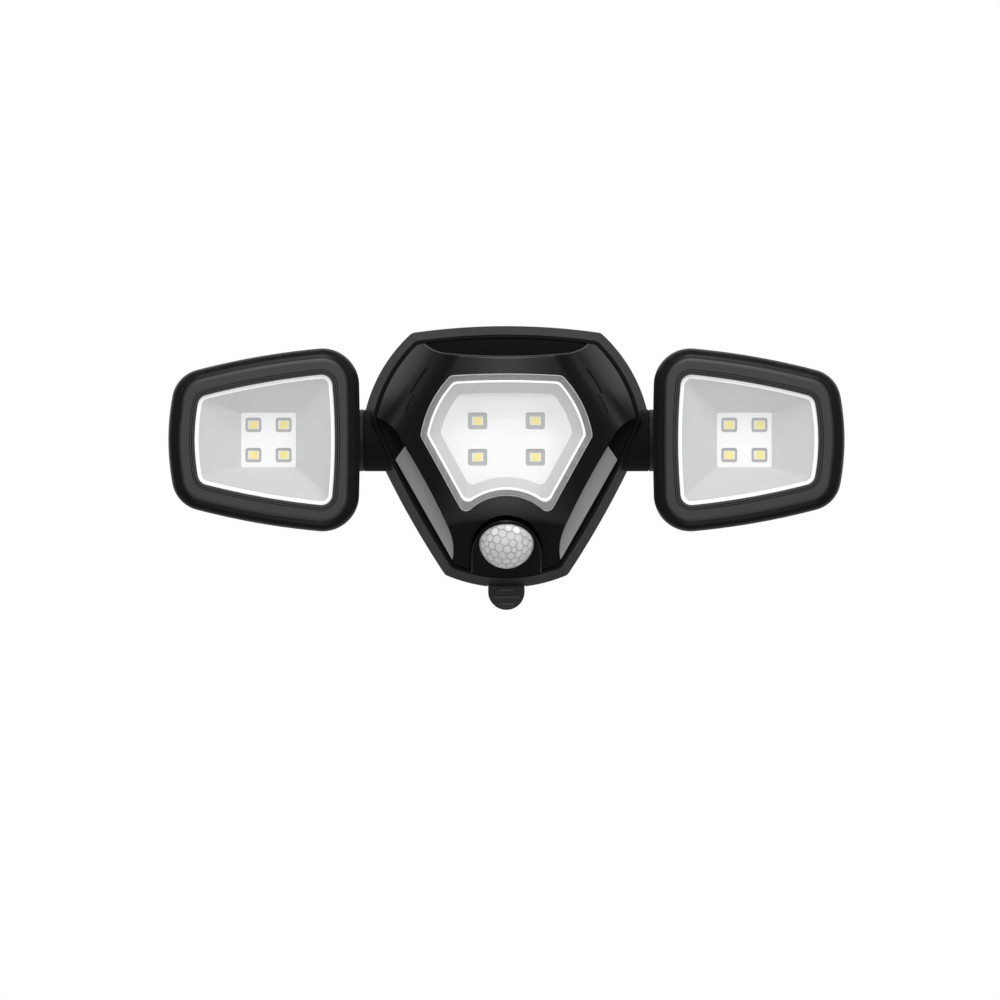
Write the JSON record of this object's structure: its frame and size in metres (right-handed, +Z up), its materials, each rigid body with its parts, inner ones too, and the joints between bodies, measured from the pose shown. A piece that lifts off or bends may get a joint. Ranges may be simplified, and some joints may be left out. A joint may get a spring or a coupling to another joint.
{
  "type": "motion sensor security light",
  "caption": "Battery wall light with a faceted centre lamp, two side lamps on swivelling friction arms, a drooping motion sensor dome, a hung bracket and a sprung release latch.",
  "frame": {"origin": "on the wall, at the centre of the four wall screws and level with the arms", "axes": "+X to the right seen from the front, +Z up, the light faces -Y and the wall is the plane Y = 0"},
  "size_m": [0.3038, 0.0622, 0.1291],
  "materials": {
    "housing_plastic": "fine satin moulding",
    "cover_plastic": "satin moulding",
    "arm_plastic": "satin moulding",
    "head_plastic": "satin moulding",
    "bracket_plastic": "satin moulding",
    "switch_plastic": "plain",
    "switch_metal": "pressed",
    "trim_grey": "satin grey",
    "seal_rubber": "soft",
    "lens_plastic": "clear, finely textured behind",
    "reflector_white": "white",
    "led_board": "white solder mask",
    "led_body": "white",
    "phosphor": "yellow resin",
    "dome_plastic": "milky, faceted",
    "circuit_board": "green solder mask",
    "nickel_can": "plated can",
    "detector_filter": "dark filter",
    "photocell_resin": "clear resin",
    "cell_sleeve": "shrink sleeve",
    "nickel_spring": "nickel plated",
    "steel_screw": "plated",
    "capacitor_sleeve": "shrink sleeve",
    "washer_plastic": "waxy"
  },
  "bodies": {
    "body": {"battery_cells": "cell_sleeve", "battery_contacts": "nickel_spring", "battery_door": "housing_plastic", "board_capacitors": "capacitor_sleeve", "centre_led_board": "led_board", "centre_led_phosphors": "phosphor", "centre_leds": "led_body", "centre_lens": "lens_plastic", "centre_lens_seal": "seal_rubber", "centre_reflector": "reflector_white", "control_board": "circuit_board", "cover_screws": "steel_screw", "cover_seal": "seal_rubber", "detector_window": "detector_filter", "door_screws": "steel_screw", "door_seal": "seal_rubber", "front_cover": "cover_plastic", "latch_spring": "nickel_spring", "left_friction_washer": "washer_plastic", "left_trim_panel": "trim_grey", "mode_switch": "switch_metal", "motion_detector": "nickel_can", "photocell": "photocell_resin", "rear_housing": "housing_plastic", "right_friction_washer": "washer_plastic", "right_trim_panel": "trim_grey", "sensor_board": "circuit_board", "sensor_dome": "dome_plastic", "sensor_hood": "cover_plastic", "wall_bracket": "bracket_plastic"},
    "left_arm": {"left_arm_seal": "seal_rubber", "left_retaining_ring": "arm_plastic", "left_swivel_arm": "arm_plastic"},
    "right_arm": {"right_arm_seal": "seal_rubber", "right_retaining_ring": "arm_plastic", "right_swivel_arm": "arm_plastic"},
    "left_head": {"left_head_frame": "head_plastic", "left_head_led_board": "led_board", "left_head_led_phosphors": "phosphor", "left_head_leds": "led_body", "left_head_lens": "lens_plastic", "left_head_lens_seal": "seal_rubber", "left_head_reflector": "reflector_white", "left_head_screws": "steel_screw", "left_head_shell": "head_plastic", "left_hinge_nut": "steel_screw", "left_hinge_pin": "steel_screw"},
    "right_head": {"right_head_frame": "head_plastic", "right_head_led_board": "led_board", "right_head_led_phosphors": "phosphor", "right_head_leds": "led_body", "right_head_lens": "lens_plastic", "right_head_lens_seal": "seal_rubber", "right_head_reflector": "reflector_white", "right_head_screws": "steel_screw", "right_head_shell": "head_plastic", "right_hinge_nut": "steel_screw", "right_hinge_pin": "steel_screw"},
    "release_latch": {"release_latch": "housing_plastic"},
    "mode_slider": {"mode_slider": "switch_plastic"}
  },
  "joints": [
    {"name": "right_arm_tilt", "type": "hinge", "parent": "body", "child": "right_arm", "pos_m": [0.0642, -0.02, 0], "axis": [1, 0, 0], "range_deg": [-45, 45]},
    {"name": "left_arm_tilt", "type": "hinge", "parent": "body", "child": "left_arm", "pos_m": [-0.0642, -0.02, 0], "axis": [1, 0, 0], "range_deg": [-45, 45]},
    {"name": "right_head_swing", "type": "hinge", "parent": "right_arm", "child": "right_head", "pos_m": [0.092, -0.02, 0], "axis": [0, 0, 1], "range_deg": [-8, 30]},
    {"name": "left_head_swing", "type": "hinge", "parent": "left_arm", "child": "left_head", "pos_m": [-0.092, -0.02, 0], "axis": [0, 0, -1], "range_deg": [-8, 30]},
    {"name": "release_latch_slide", "type": "slide", "parent": "body", "child": "release_latch", "axis": [0, 0, -1], "range_m": [0, 0.005], "stiffness_N_per_m": 300, "springref_m": -0.004, "deforming": ["latch_spring"]},
    {"name": "mode_slider_slide", "type": "slide", "parent": "body", "child": "mode_slider", "axis": [1, 0, 0], "range_m": [-0.002, 0.002]}
  ]
}
